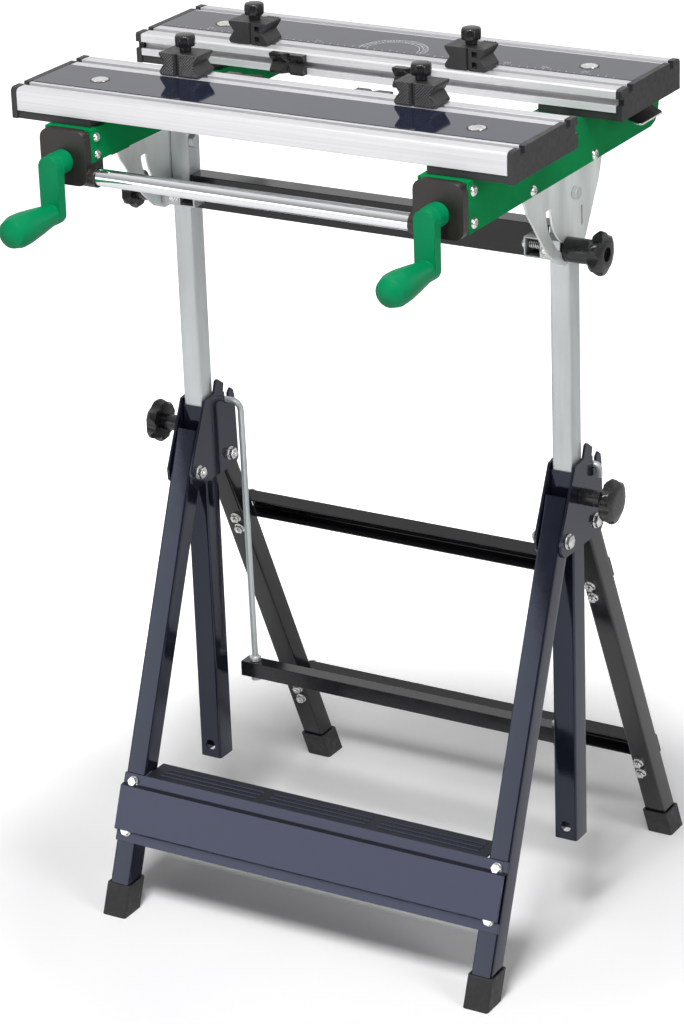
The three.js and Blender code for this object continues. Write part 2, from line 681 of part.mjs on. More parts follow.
const crank = cut(
  join(
    alongY(armOutline, armFront, hubFront),
    rodY(2 * CRANK.hub, hubFront - 1, hubBack, railX, spindleZ),
    toSolid(grip),
  ),
  rodY(SPINDLE.size + 2 * GAP, armFront + 4 - GAP, hubBack + 5, railX, spindleZ),
);
placePair("crank", crank, green);

// Jaws: one extrusion profile; u runs from the outer face to the inner face, v up
const slotCut = (slot) => {
  const mouth = slot.mouth / 2;
  const chamber = slot.chamber / 2;
  return [
    [slot.at + mouth, JAW.height],
    [slot.at + mouth, slot.lip],
    [slot.at + chamber, slot.lip],
    [slot.at + chamber, slot.floor],
    [slot.at - chamber, slot.floor],
    [slot.at - chamber, slot.lip],
    [slot.at - mouth, slot.lip],
    [slot.at - mouth, JAW.height],
  ];
};
const panelFloor = JAW.height + PANEL.proud - PANEL.thick - GAP;
const jawProfile = [
  [0, 0],
  [JAW.width, 0],
  [JAW.width, FACE_SLOT.low],
  [JAW.width - FACE_SLOT.lip, FACE_SLOT.low],
  [JAW.width - FACE_SLOT.lip, FACE_SLOT.chamberLow],
  [JAW.width - FACE_SLOT.depth, FACE_SLOT.chamberLow],
  [JAW.width - FACE_SLOT.depth, FACE_SLOT.chamberHigh],
  [JAW.width - FACE_SLOT.lip, FACE_SLOT.chamberHigh],
  [JAW.width - FACE_SLOT.lip, FACE_SLOT.high],
  [JAW.width, FACE_SLOT.high],
  [JAW.width, JAW.height - 2],
  [JAW.width - 2, JAW.height],
  ...slotCut(DOG_SLOT),
  [PANEL.to + GAP, JAW.height],
  [PANEL.to + GAP, panelFloor],
  [PANEL.from - GAP, panelFloor],
  [PANEL.from - GAP, JAW.height],
  ...slotCut(OUTER_SLOT),
  [5, JAW.height],
  [1.5, JAW.height - 1.5],
  [0, JAW.height - 5],
];
const hollow = (u0, u1, wall) => [
  [u0, wall],
  [u0, panelFloor - wall],
  [u1, panelFloor - wall],
  [u1, wall],
];
const hollowMiddle = (PANEL.from + PANEL.to) / 2 + 3;
const hollows = [
  hollow(PANEL.from + 2, hollowMiddle - 2, 3),
  hollow(hollowMiddle + 2, PANEL.to + 4, 3.5),
];
// The rear jaw is the front jaw turned round, so that the slotted faces look at each other
const onFront = ([u, v]) => [JAW.front + u, jawBottom + v];
const onRear = ([u, v]) => [JAW.back - u, jawBottom + v];
const jawPrism = (profile, on, x0, x1, holes = []) => {
  const points = profile.map(on);
  if (on === onRear) points.reverse();
  return alongX(points, x0, x1, holes.map((hole) => hole.map(on)));
};
const rectangle = (u0, u1, v0, v1) => [
  [u0, v0],
  [u1, v0],
  [u1, v1],
  [u0, v1],
];
const capTop = JAW.height + CAP.proud;
const capSlot = (slot) => [
  [slot.at + slot.mouth / 2, capTop],
  [slot.at + slot.mouth / 2, slot.lip - 3],
  [slot.at - slot.mouth / 2, slot.lip - 3],
  [slot.at - slot.mouth / 2, capTop],
];
const capProfile = [
  [0, -capFoot],
  [JAW.width, -capFoot],
  [JAW.width, FACE_SLOT.low],
  [JAW.width - 6, FACE_SLOT.low],
  [JAW.width - 6, FACE_SLOT.high],
  [JAW.width, FACE_SLOT.high],
  [JAW.width, capTop - 2],
  [JAW.width - 2, capTop],
  ...capSlot(DOG_SLOT),
  ...capSlot(OUTER_SLOT),
  [5, capTop],
  [1.5, capTop - 1.5],
  [0, capTop - 5],
];
const capIn = JAW.half + GAP;
const capOut = capIn + CAP.thick;
const guideOut = railOut + SLIDE_GAP;
const footIn = railIn + 6;
const guideFrom = JAW.width * 0.27;
const guideTo = JAW.width * 0.73;
const jawEnd = (on) =>
  join(
    jawPrism(capProfile, on, capIn, capOut),
    jawPrism(rectangle(2, JAW.width - 2, -capFoot, -GAP), on, footIn, capIn + 1),
    jawPrism(rectangle(guideFrom, guideTo, -capFoot - 9, 1 - capFoot), on, guideOut, guideOut + CAP.guide),
  );
const footLow = jawBottom - capFoot;
const neckHalf = NUT.neck / 2;
const nutY = JAW.front + JAW.width / 2;
const nutPlace = [nutY - NUT.length / 2, nutY + NUT.length / 2];
const screwNut = cut(
  join(
    box(railX - neckHalf, railX + neckHalf, ...nutPlace, spindleZ, footLow + 1),
    box(
      railX - NUT.width / 2,
      railX + NUT.width / 2,
      ...nutPlace,
      spindleZ - NUT.height / 2,
      spindleZ + NUT.height / 2,
    ),
  ),
  rodY(SPINDLE.size + 2 * SLIDE_GAP, nutPlace[0] - 1, nutPlace[1] + 1, railX, spindleZ),
);
const panelTop = JAW.height + PANEL.proud;
const panelProfile = rectangle(PANEL.from, PANEL.to, panelTop - PANEL.thick, panelTop);
for (const [jaw, on] of [["front", onFront], ["rear", onRear]]) {
  place(`${jaw}_jaw`, jawPrism(jawProfile, on, -JAW.half, JAW.half, hollows), aluminium);
  place(`${jaw}_panel`, jawPrism(panelProfile, on, -JAW.half, JAW.half), slate);
}
placePair("front_jaw_end", join(jawEnd(onFront), screwNut), black);
placePair("rear_jaw_end", jawEnd(onRear), black);

// Bench dogs: blocks with notched sides over the inner top slot, with a clamping knob each
const dogLow = jawTop + CAP.proud;
const dogHigh = dogLow + DOG.height;
const dogHalf = DOG.width / 2;
const dogFace = -DOG.depth / 2;
const dogMiddle = (dogLow + DOG.foot + dogHigh - DOG.lip) / 2;
const dogOutline = [
  [2 - dogHalf, dogLow],
  [dogHalf - 2, dogLow],
  [dogHalf, dogLow + 2],
  [dogHalf, dogLow + DOG.foot],
  [dogHalf - DOG.notch, dogMiddle],
  [dogHalf, dogHigh - DOG.lip],
  [dogHalf, dogHigh],
  [-dogHalf, dogHigh],
  [-dogHalf, dogHigh - DOG.lip],
  [DOG.notch - dogHalf, dogMiddle],
  [-dogHalf, dogLow + DOG.foot],
  [-dogHalf, dogLow + 2],
];
// V-grooves in both faces; the two pockets are in the face that looks at the other jaw
const dogGroove = (x, face, way) => {
  const half = DOG.groove / 2;
  const outline = [
    [x - half, face - way],
    [x + half, face - way],
    [x + half - 1, face],
    [x, face + way * half],
    [x - half + 1, face],
  ];
  if (way < 0) outline.reverse();
  return alongZ(outline, dogLow - 1, dogHigh + 1);
};
const dogPocket = (z) => box(9, 9 + DOG.pocket, dogFace - 1, dogFace + 5, z, z + DOG.pocket);
const dogBlock = cut(
  alongY(dogOutline, dogFace, -dogFace),
  dogGroove(3, dogFace, 1),
  dogGroove(3, -dogFace, -1),
  dogPocket(dogLow + 3),
  dogPocket(dogHigh - 4 - DOG.pocket),
  rodZ(DOG_KNOB.stem + HOLE_GAP, dogLow - 1, dogHigh + 1, 0, 0, 16),
);
const dogTee = jawBottom + DOG_SLOT.floor + 0.5;
const dogKnobLow = dogHigh + DOG_KNOB.rise;
const dogKnob = join(
  rodZ(DOG_KNOB.size, dogKnobLow, dogKnobLow + DOG_KNOB.height, 0, 0, ROUND),
  rodZ(DOG_KNOB.collar, dogHigh + GAP, dogKnobLow + 1, 0, 0, 16),
  rodZ(DOG_KNOB.stem, dogTee + 1, dogKnobLow + 1, 0, 0, 14),
  rodZ(DOG_KNOB.tee, dogTee, jawBottom + DOG_SLOT.lip - 0.5, 0, 0, 14),
);
const standing = (solid, x, y, turn) => toSolid(toGeometry(solid).rotateZ(turn).translate(x, y, 0));
for (const [jaw, on] of [["front", onFront], ["rear", onRear]]) {
  const y = on([DOG_SLOT.at, 0])[0];
  const turn = on === onFront ? Math.PI : 0;
  ["left", "right"].forEach((side, i) => {
    place(`${jaw}_dog_${side}`, standing(dogBlock, DOG_AT[jaw][i], y, turn), black);
    place(`${jaw}_dog_knob_${side}`, standing(dogKnob, DOG_AT[jaw][i], y, turn), black);
  });
}

// V-clips: grooved gripping pieces with a T-shaped tongue in the facing slots
const clipLow = jawBottom + (JAW.height - CLIP.height) / 2;
const clipMiddle = jawBottom + JAW.height / 2;
const clip = (on, x) => {
  const sign = on === onFront ? 1 : -1;
  const face = on([JAW.width, 0])[0] + sign * GAP;
  const tip = face + sign * CLIP.depth;
  const root = face - sign * 0.1;
  const half = CLIP.width / 2;
  const outline = [
    [x - half, root],
    [x + half, root],
    [x + half, face + sign * 3],
    [x + half - CLIP.chamfer, tip],
    [x - half + CLIP.chamfer, tip],
    [x - half, face + sign * 3],
  ];
  const groove = [
    [tip - sign * CLIP.groove, clipMiddle],
    [tip + sign, clipMiddle - CLIP.groove - 1],
    [tip + sign, clipMiddle + CLIP.groove + 1],
  ];
  if (sign < 0) {
    outline.reverse();
    groove.reverse();
  }
  const neck = rectangle(
    JAW.width - FACE_SLOT.lip - 1,
    JAW.width + GAP + 1,
    FACE_SLOT.low + SLIDE_GAP,
    FACE_SLOT.high - SLIDE_GAP,
  );
  const head = rectangle(
    JAW.width - FACE_SLOT.depth + SLIDE_GAP,
    JAW.width - FACE_SLOT.lip - SLIDE_GAP,
    FACE_SLOT.chamberLow + SLIDE_GAP,
    FACE_SLOT.chamberHigh - SLIDE_GAP,
  );
  return join(
    cut(
      alongZ(outline, clipLow, clipLow + CLIP.height),
      alongX(groove, x - half - 1, x + half + 1),
    ),
    jawPrism(neck, on, x - 14, x + 14),
    jawPrism(head, on, x - 14, x + 14),
  );
};
for (const [jaw, on] of [["front", onFront], ["rear", onRear]]) {
  place(`${jaw}_clip_left`, clip(on, CLIP_AT[jaw][0]), black);
  place(`${jaw}_clip_right`, clip(on, CLIP_AT[jaw][1]), black);
}

export default bench;
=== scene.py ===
"""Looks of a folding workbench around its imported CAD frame.

Finishes, fasteners, prints and studio. Lengths are metres unless a comment says
millimetres. X runs along the jaws, Y from the cranks to the back, Z up.
"""

import json
import math

import bmesh
import bpy
from mathutils import Matrix, Vector


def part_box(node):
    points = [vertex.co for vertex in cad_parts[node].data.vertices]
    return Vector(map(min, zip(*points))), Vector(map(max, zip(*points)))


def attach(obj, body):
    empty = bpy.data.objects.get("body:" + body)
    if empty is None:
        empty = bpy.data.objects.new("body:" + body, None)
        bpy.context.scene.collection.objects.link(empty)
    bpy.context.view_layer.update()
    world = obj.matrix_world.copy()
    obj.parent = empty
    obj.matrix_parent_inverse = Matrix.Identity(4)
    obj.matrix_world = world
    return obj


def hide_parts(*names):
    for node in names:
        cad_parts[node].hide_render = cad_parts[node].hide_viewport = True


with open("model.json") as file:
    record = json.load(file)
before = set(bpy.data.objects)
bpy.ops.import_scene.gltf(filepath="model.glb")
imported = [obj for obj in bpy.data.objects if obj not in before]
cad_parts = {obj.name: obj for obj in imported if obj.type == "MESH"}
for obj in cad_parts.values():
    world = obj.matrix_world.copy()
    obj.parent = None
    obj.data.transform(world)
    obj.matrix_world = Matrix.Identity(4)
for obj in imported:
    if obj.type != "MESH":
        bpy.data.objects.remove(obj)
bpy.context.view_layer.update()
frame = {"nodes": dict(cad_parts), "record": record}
nodes = frame["nodes"]
joints = {joint["name"]: joint for joint in frame["record"]["behaviour"]["joints"]}

MM = 0.001
SIDES = {"right": 1, "left": -1}


# Places read from the frame
def pivot(joint):
    """Point on a joint's axis."""
    return joints[joint]["pos_m"]


def middle(node):
    """Centre of a CAD node's box."""
    low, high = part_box(node)
    return (low + high) / 2


POST_Y = pivot("height_knob_right_turn")[1]
LEG_X = middle("front_leg_right").x


def at(x, y, z):
    """Point from millimetres, y counted from the line of the posts."""
    return Vector((x * MM, POST_Y + y * MM, z * MM))


def circle(count):
    """Angles of a full turn in equal steps."""
    return [2 * math.pi * i / count for i in range(count)]


# Colours, as sRGB bytes
DARK_PAINT = (21, 23, 33)
# The step's front colour is lighter than the dark paint: a painted reflection
STEP_SHEEN = (42, 45, 61)
BAR_BLACK = (22, 23, 25)
TREAD = (13, 13, 15)
RAIL_GREEN = (0, 125, 66)
CRANK_GREEN = (0, 123, 77)
ZINC = (203, 207, 208)
PALE_ZINC = (232, 237, 235)
CHROME = (236, 238, 240)
ALUMINIUM = (216, 215, 218)
PLATED = (226, 226, 224)
SLATE = (30, 34, 52)
BLACK = (35, 35, 36)
KNOB_BLACK = (20, 20, 21)
BLOCK_BROWN = (32, 28, 26)
RUBBER = (27, 27, 28)
PRINT = (205, 208, 212)

# Colours, as linear RGBA
WHITE = (1, 1, 1, 1)
BLUE_SHEEN = (0.7, 0.76, 1.0, 1.0)
FLOOR_DARK = (0.93, 0.93, 0.94, 1)
FLOOR_LIGHT = (0.96, 0.96, 0.96, 1)


def linear(colour, gain=1.0):
    """Linear RGBA of an sRGB colour in bytes, made lighter or darker by gain."""

    def channel(value):
        share = value / 255
        return share / 12.92 if share <= 0.04045 else ((share + 0.055) / 1.055) ** 2.4

    return tuple(min(1.0, channel(value) * gain) for value in colour) + (1.0,)


# Nodes
def feed(tree, socket, value):
    """Link a socket to another node's output, or set it to a plain value."""
    if isinstance(value, bpy.types.NodeSocket):
        tree.links.new(value, socket)
    else:
        socket.default_value = value


def add(tree, kind, inputs=None, **settings):
    """New node with its settings made and its inputs fed."""
    node = tree.nodes.new(kind)
    for name, value in settings.items():
        setattr(node, name, value)
    for key, value in (inputs or {}).items():
        feed(tree, node.inputs[key], value)
    return node


def ranged(tree, source, start, end, low=0.0, high=1.0, kind="LINEAR"):
    """Value that runs from low to high while the source runs from start to end."""
    inputs = {
        "Value": source,
        "From Min": start,
        "From Max": end,
        "To Min": low,
        "To Max": high,
    }
    return add(tree, "ShaderNodeMapRange", inputs, interpolation_type=kind).outputs["Result"]


def maths(tree, operation, first, second):
    """Result of a math node."""
    return add(tree, "ShaderNodeMath", {0: first, 1: second}, operation=operation).outputs[0]


# Materials
NOISE_LOW, NOISE_HIGH = 0.3, 0.7  # most of a noise lies between these


def grain(scale, stretch=(1, 1, 1), detail=4.0):
    """Settings of a noise, which is longer along the axes with a small stretch value."""
    return {"Scale": scale, "Detail": detail}, stretch


class Finish:
    """A procedural material in the piece's own coordinates."""

    def __init__(self, name, metallic=0.0, specular=0.5, tint=WHITE):
        self.material = bpy.data.materials.new(name)
        self.material.use_nodes = True
        self.tree = self.material.node_tree
        self.shader = self.tree.nodes["Principled BSDF"]
        self.put("Metallic", metallic)
        self.put("Specular IOR Level", specular)
        self.put("Specular Tint", tint)
        coordinates = add(self.tree, "ShaderNodeTexCoord")
        self.place = coordinates.outputs["Object"]
        self.facing = coordinates.outputs["Normal"]

    def put(self, socket, value):
        """Set or link one of the shader's sockets."""
        feed(self.tree, self.shader.inputs[socket], value)

    def noise(self, settings, stretch):
        """Noise from what grain() returns."""
        mapping = add(self.tree, "ShaderNodeMapping", {"Vector": self.place, "Scale": stretch})
        inputs = {"Vector": mapping.outputs["Vector"], **settings}
        return add(self.tree, "ShaderNodeTexNoise", inputs).outputs["Fac"]

    def upward(self, low, high):
        """0 on faces that look sideways and 1 on those that look up."""
        parts = add(self.tree, "ShaderNodeSeparateXYZ", {"Vector": self.facing})
        return ranged(self.tree, parts.outputs["Z"], low, high)

    def colour(self, low, high, source):
        """Base colour that runs from low to high with the source."""
        ramp = add(self.tree, "ShaderNodeValToRGB", {"Fac": source})
        stops = ((NOISE_LOW, low), (NOISE_HIGH, high))
        for element, (position, colour) in zip(ramp.color_ramp.elements, stops):
            element.position = position
            element.color = colour
        self.put("Base Color", ramp.outputs["Color"])

    def gloss(self, low, high, source):
        """Roughness that runs from low to high with the source."""
        self.put("Roughness", ranged(self.tree, source, NOISE_LOW, NOISE_HIGH, low, high))

    def relief(self, depth, source):
        """Bump of a given depth."""
        inputs = {"Strength": 1.0, "Distance": depth, "Height": source}
        self.put("Normal", add(self.tree, "ShaderNodeBump", inputs).outputs["Normal"])


def coated(name, colour, shades, clouds, gloss, blotches, depth=0.0, texture=None, **base):
    """Material with colour clouds, uneven gloss and a fine relief.

    shades are two gains of the colour, gloss is a range of roughness, and clouds,
    blotches and texture are the noise that colour, gloss and relief follow.
    """
    finish = Finish(name, **base)
    dark, light = (linear(colour, gain) for gain in shades)
    finish.colour(dark, light, finish.noise(*clouds))
    finish.gloss(*gloss, finish.noise(*blotches))
    if depth:
        finish.relief(depth, finish.noise(*texture))
    return finish.material


def enamel(name, colour, shades, gloss, **base):
    """Gloss enamel with a slight orange peel."""
    peel = grain(300, detail=2)
    return coated(name, colour, shades, grain(9), gloss, grain(40), 0.03 * MM, peel, **base)


def step_paint():
    """The dark enamel on the step, matt black on top, with a lighter, bluer colour on the front
    and sides as a painted reflection.
    """
    finish = Finish("step_paint", tint=BLUE_SHEEN)
    upward = finish.upward(low=0.8, high=0.95)
    # Front and sides get the lighter colour of painted reflection, the top a matt black
    finish.colour(linear(STEP_SHEEN), linear(TREAD), upward)
    finish.gloss(0.18, 0.62, upward)
    finish.relief(0.04 * MM, finish.noise(*grain(260, detail=2)))
    return finish.material


def zinc(name, colour, metallic):
    """Galvanised steel: cloudy crystals and drawing marks up and down."""
    return coated(
        name,
        colour,
        shades=(0.8, 1.06),
        clouds=grain(34, (1, 1, 0.16)),
        gloss=(0.34, 0.52),
        blotches=grain(70, (1, 1, 0.08)),
        depth=0.05 * MM,
        texture=grain(600, (1, 1, 0.05)),
        metallic=metallic,
    )


def black_plastic(name, colour, gloss, depth=0.09 * MM):
    """Moulded black plastic with a spark-eroded grain."""
    eroded = grain(1500, detail=3)
    return coated(name, colour, (0.8, 1.25), grain(26), gloss, grain(140), depth, eroded)


# By the slots of the CAD nodes
MATERIALS = {
    "dark_paint": enamel("dark_paint", DARK_PAINT, (0.85, 1.15), (0.07, 0.12), tint=BLUE_SHEEN),
    # Powder coat of the rails
    "green_paint": coated(
        "green_paint",
        RAIL_GREEN,
        shades=(0.86, 1.1),
        clouds=grain(12),
        gloss=(0.34, 0.46),
        blotches=grain(60),
        depth=0.08 * MM,
        texture=grain(900, detail=2),
        specular=0.03,
    ),
    # Moulded plastic of the cranks
    "green_plastic": coated(
        "green_plastic",
        CRANK_GREEN,
        shades=(0.9, 1.1),
        clouds=grain(16),
        gloss=(0.36, 0.48),
        blotches=grain(90),
        depth=0.06 * MM,
        texture=grain(1300, detail=3),
        specular=0.12,
    ),
    "zinc": zinc("zinc", ZINC, 0.75),
    # Polished plating with faint marks along the tube
    "chrome": coated(
        "chrome",
        CHROME,
        shades=(0.92, 1.0),
        clouds=grain(20, (0.1, 1, 1)),
        gloss=(0.05, 0.13),
        blotches=grain(120, (0.05, 1, 1)),
        depth=0.01 * MM,
        texture=grain(700, (0.04, 1, 1)),
        metallic=1.0,
    ),
    # Anodised extrusion with fine die lines along X
    "aluminium": coated(
        "aluminium",
        ALUMINIUM,
        shades=(0.86, 1.0),
        clouds=grain(420, (0.004, 1, 1)),
        gloss=(0.38, 0.5),
        blotches=grain(300, (0.006, 1, 1)),
        depth=0.04 * MM,
        texture=grain(900, (0.003, 1, 1)),
        metallic=0.4,
    ),
    # Printed laminate under a clear gloss film
    "panel": coated(
        "panel",
        SLATE,
        shades=(0.85, 1.2),
        clouds=grain(220, detail=6),
        gloss=(0.04, 0.09),
        blotches=grain(30),
        depth=0.005 * MM,
        texture=grain(160),
    ),
    "black_plastic": black_plastic("black_plastic", BLACK, (0.38, 0.55)),
    "boot_rubber": black_plastic("boot_rubber", RUBBER, (0.5, 0.7)),
}
BLOCK = black_plastic("block_plastic", BLOCK_BROWN, (0.3, 0.42))
KNOB = black_plastic("knob_plastic", KNOB_BLACK, (0.22, 0.32), depth=0.02 * MM)
STEP = step_paint()
BAR = enamel("bar_paint", BAR_BLACK, (0.85, 1.2), (0.13, 0.22), specular=0.45)
PLATE = zinc("plate_zinc", PALE_ZINC, 0.55)
# Pale print, a little worn
INK = coated(
    "print_ink",
    PRINT,
    shades=(0.7, 1.0),
    clouds=grain(300),
    gloss=(0.25, 0.4),
    blotches=grain(80),
)
# Bright zinc plate of the nuts and bolts
PLATING = coated(
    "plated",
    PLATED,
    shades=(0.75, 1.1),
    clouds=grain(240),
    gloss=(0.14, 0.3),
    blotches=grain(300),
    depth=0.03 * MM,
    texture=grain(900),
    metallic=0.95,
)

# Rounded edges of the CAD nodes
WELD = 0.01 * MM
SMOOTH_BELOW = math.radians(32)
BEVEL_ABOVE = math.radians(38)


def smoothing():
    """Node group that welds a mesh and shades it smooth except at sharp edges."""
    group = bpy.data.node_groups.new("weld_and_smooth", "GeometryNodeTree")
    for way in ("INPUT", "OUTPUT"):
        group.interface.new_socket("Geometry", in_out=way, socket_type="NodeSocketGeometry")
    angle = add(group, "GeometryNodeInputMeshEdgeAngle").outputs["Unsigned Angle"]
    soft = add(
        group, "FunctionNodeCompare", {"A": angle, "B": SMOOTH_BELOW}, operation="LESS_THAN"
    )
    mesh = add(group, "NodeGroupInput")
    for kind, inputs, settings in (
        ("GeometryNodeMergeByDistance", {"Distance": WELD}, {}),
        ("GeometryNodeRemoveAttribute", {"Name": "custom_normal"}, {}),
        ("GeometryNodeSetShadeSmooth", {}, {}),
        (
            "GeometryNodeSetShadeSmooth",
            {"Shade Smooth": soft.outputs["Result"]},
            {"domain": "EDGE"},
        ),
        ("NodeGroupOutput", {}, {}),
    ):
        mesh = add(group, kind, {"Geometry": mesh.outputs["Geometry"], **inputs}, **settings)
    return group


SMOOTHING = smoothing()


def soften(obj, width):
    """Smooth round faces and a small radius on the sharp edges."""
    obj.modifiers.new("smooth", "NODES").node_group = SMOOTHING
    bevel = obj.modifiers.new("edges", "BEVEL")
    bevel.width = width
    bevel.segments = 2
    bevel.limit_method = "ANGLE"
    bevel.angle_limit = BEVEL_ABOVE
    obj.modifiers.new("normals", "WEIGHTED_NORMAL").keep_sharp = True


EDGE = {
    "dark_paint": 0.6 * MM,
    "green_paint": 0.5 * MM,
    "green_plastic": 2.2 * MM,
    "zinc": 0.5 * MM,
    "chrome": 0.4 * MM,
    "aluminium": 0.5 * MM,
    "panel": 0.3 * MM,
    "black_plastic": 0.9 * MM,
    "boot_rubber": 2.0 * MM,
}
BLACK_BARS = {
    "column_crossbar",
    "upper_crossbar",
    "lower_crossbar",
    "hook_bar",
    "rear_leg_left",
    "rear_leg_right",
}


def finish_of(name, slot):
    """Material of a CAD node, which is that of its slot for most."""
    if name.startswith("end_block"):
        return BLOCK
    if "knob" in name:
        return KNOB
    if name.startswith("tilt_plate"):
        return PLATE
    if name in BLACK_BARS:
        return BAR
    if name == "front_step":
        return STEP
    return MATERIALS[slot]


for name, node in nodes.items():
    slot = node.data.materials[0].name.split(".")[0]
    node.data.materials[0] = finish_of(name, slot)
    soften(node, EDGE[slot])


# Small parts
HEXAGON = 6
STEEP = 0.9  # from this rise on, an axis counts as upright


def square_to(axis):
    """Two directions square to an axis and to each other."""
    helper = Vector((0, 0, 1)) if abs(axis.z) < STEEP else Vector((1, 0, 0))
    first = axis.cross(helper).normalized()
    return first, axis.cross(first)


class Kit:
    """One mesh of small parts that ride the same body."""

    def __init__(self):
        self.mesh = bmesh.new()

    def skin(self, rings):
        """Faces over rings of points; a single point closes an end."""
        laid = [[self.mesh.verts.new(point) for point in ring] for ring in rings]
        for low, high in zip(laid, laid[1:]):
            count = max(len(low), len(high))
            for i in range(count):
                j = (i + 1) % count
                if len(low) == 1:
                    corners = [low[0], high[j], high[i]]
                elif len(high) == 1:
                    corners = [low[i], low[j], high[0]]
                else:
                    corners = [low[i], low[j], high[j], high[i]]
                self.mesh.faces.new(corners)

    def facets(self, faces):
        """Flat faces that share their corners."""
        corners = {}
        for face in faces:
            laid = []
            for point in face:
                key = tuple(round(value, 7) for value in point)
                if key not in corners:
                    corners[key] = self.mesh.verts.new(point)
                laid.append(corners[key])
            self.mesh.faces.new(laid)

    def swept(self, line, section):
        """Section, a function of the step, carried along a line of steps."""
        rings = [section(step) for step in line]
        first, last = ([sum(ring, Vector()) / len(ring)] for ring in (rings[0], rings[-1]))
        self.skin([first, *rings, last])

    def bar(self, low, high):
        """Plain bar between two corners."""
        (x0, y0, z0), (x1, y1, z1) = low, high
        outline = [(x0, y0), (x1, y0), (x1, y1), (x0, y1)]
        centre = ((x0 + x1) / 2, (y0 + y1) / 2)
        feet = [Vector((*point, z0)) for point in outline]
        heads = [Vector((*point, z1)) for point in outline]
        self.skin([[Vector((*centre, z0))], feet, heads, [Vector((*centre, z1))]])

    def turned(self, place, axis, profile, sides=20):
        """Round or many-sided part from (radius, height) in millimetres, out along the axis."""
        axis = Vector(axis).normalized()
        first, second = square_to(axis)
        ways = [first * math.cos(a) + second * math.sin(a) for a in circle(sides)]
        rings = []
        for radius, height in profile:
            centre = place + axis * height * MM
            ring = [centre + way * radius * MM for way in ways]
            rings.append(ring if radius else [centre])
        self.skin(rings)

    def nut(self, place, axis, across=13.0, height=6.5, stud=8.0):
        """Hexagon nut on a washer, with the end of its bolt."""
        corner = across / math.sqrt(3)
        rim = corner * 1.14
        self.turned(place, axis, [(0, 0), (rim, 0), (rim, 1.1), (corner, 1.3), (0, 1.3)])
        foot, chamfer = 1.2, 0.7
        body = [
            (0, foot),
            (corner * 0.94, foot),
            (corner, foot + chamfer),
            (corner, height - chamfer),
            (corner * 0.9, height),
            (0, height),
        ]
        self.turned(place, axis, body, sides=HEXAGON)
        tip, root, top = stud / 2, height - 0.5, height + 2.4
        end = [(0, root), (tip, root), (tip, height + 1.6), (tip * 0.75, top), (0, top)]
        self.turned(place, axis, end, sides=16)

    def head(self, place, axis, across):
        """Hexagon bolt head on its flange."""
        corner = across / math.sqrt(3)
        rim, flat = corner * 1.1, corner * 0.97
        self.turned(place, axis, [(0, 0), (rim, 0), (rim, 0.9), (corner, 1.2), (0, 1.2)])
        body = [(0, 1.1), (flat, 1.1), (flat, 4.9), (corner * 0.86, 5.5), (0, 5.7)]
        self.turned(place, axis, body, sides=HEXAGON)

    def dome(self, place, axis, size=13.0):
        """Button head with a socket."""
        r = size / 2
        shape = [(0, 0), (r, 0), (r, 0.7), (r * 0.94, 1.5), (r * 0.74, 2.7), (r * 0.48, 3.4)]
        socket = [(r * 0.38, 3.4), (r * 0.34, 1.9), (0, 1.7)]
        self.turned(place, axis, shape + socket, sides=24)

    def lens(self, place, axis, size):
        """Low domed head."""
        r = size / 2
        rim = [(0, 0), (r, 0), (r * 0.99, 0.5), (r * 0.9, 1.1)]
        crown = [(r * 0.7, 1.8), (r * 0.4, 2.3), (0, 2.5)]
        self.turned(place, axis, rim + crown, sides=32)

    def build(self, name, material, slot, body, sharp=35):
        """Object that rides a body, with edges over an angle in degrees left sharp."""
        bmesh.ops.recalc_face_normals(self.mesh, faces=self.mesh.faces)
        for face in self.mesh.faces:
            face.smooth = True
        for edge in self.mesh.edges:
            edge.smooth = edge.calc_face_angle(0) < math.radians(sharp)
        mesh = bpy.data.meshes.new(name)
        self.mesh.to_mesh(mesh)
        self.mesh.free()
        mesh.materials.append(material)
        obj = bpy.data.objects.new(name, mesh)
        bpy.context.scene.collection.objects.link(obj)
        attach(obj, body)
        return obj


# Nuts and bolts of the legs, millimetres and degrees
REAR_TILT, FRONT_TILT = 23.9, 21.1
CROSSBARS = (114, 436)  # down the rear legs
CROSSBAR_BOLTS = (-11, 8)  # from a crossbar's line
STEP_BOLTS = (391, 453)  # down the front legs
LEG_INSIDE, BAR_FACE, STEP_FACE = -14, 32.3, 16.3  # away from the posts
NUT_SUNK, HEAD_SUNK = 6.2, 4.8  # into the ends of the leg bolts
BOLT_X = LEG_X - 4 * MM


def beside_leg(joint, tilt, side):
    """Points beside a leg (s down it from its bolt, t away from the posts) and the way of t."""
    _, y, z = pivot(joint)
    sin, cos = math.sin(math.radians(tilt)), math.cos(math.radians(tilt))

    def point(x, s, t):
        return Vector((x, y + side * (s * sin + t * cos) * MM, z + (t * sin - s * cos) * MM))

    return point, Vector((0, side * cos, sin))


on_rear, rear_way = beside_leg("rear_legs_fold", REAR_TILT, 1)
on_front, front_way = beside_leg("front_legs_fold", FRONT_TILT, -1)
bars, steps, pivots = Kit(), Kit(), Kit()
for side, sign in SIDES.items():
    for bar in CROSSBARS:
        for s in (bar + shift for shift in CROSSBAR_BOLTS):
            nut_place = on_rear(sign * BOLT_X, s, LEG_INSIDE)
            bars.nut(nut_place, -rear_way, across=10.5, height=6, stud=6.5)
            bars.dome(on_rear(sign * BOLT_X, s, BAR_FACE), rear_way, size=9)
    for s in STEP_BOLTS:
        steps.head(on_front(sign * LEG_X, s, STEP_FACE), front_way, across=11)
    for leg in ("front", "rear"):
        _, y, z = pivot(leg + "_legs_fold")
        inner, outer = (corner.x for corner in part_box(f"{leg}_leg_bolt_{side}"))
        near, far = (inner, outer) if sign > 0 else (outer, inner)
        nut_x, head_x = near + sign * NUT_SUNK * MM, far - sign * HEAD_SUNK * MM
        pivots.nut(Vector((nut_x, y, z)), (-sign, 0, 0), height=7.4)
        pivots.head(Vector((head_x, y, z)), (sign, 0, 0), across=15)
bars.build("crossbar_bolts", PLATING, "zinc", "rear_legs")
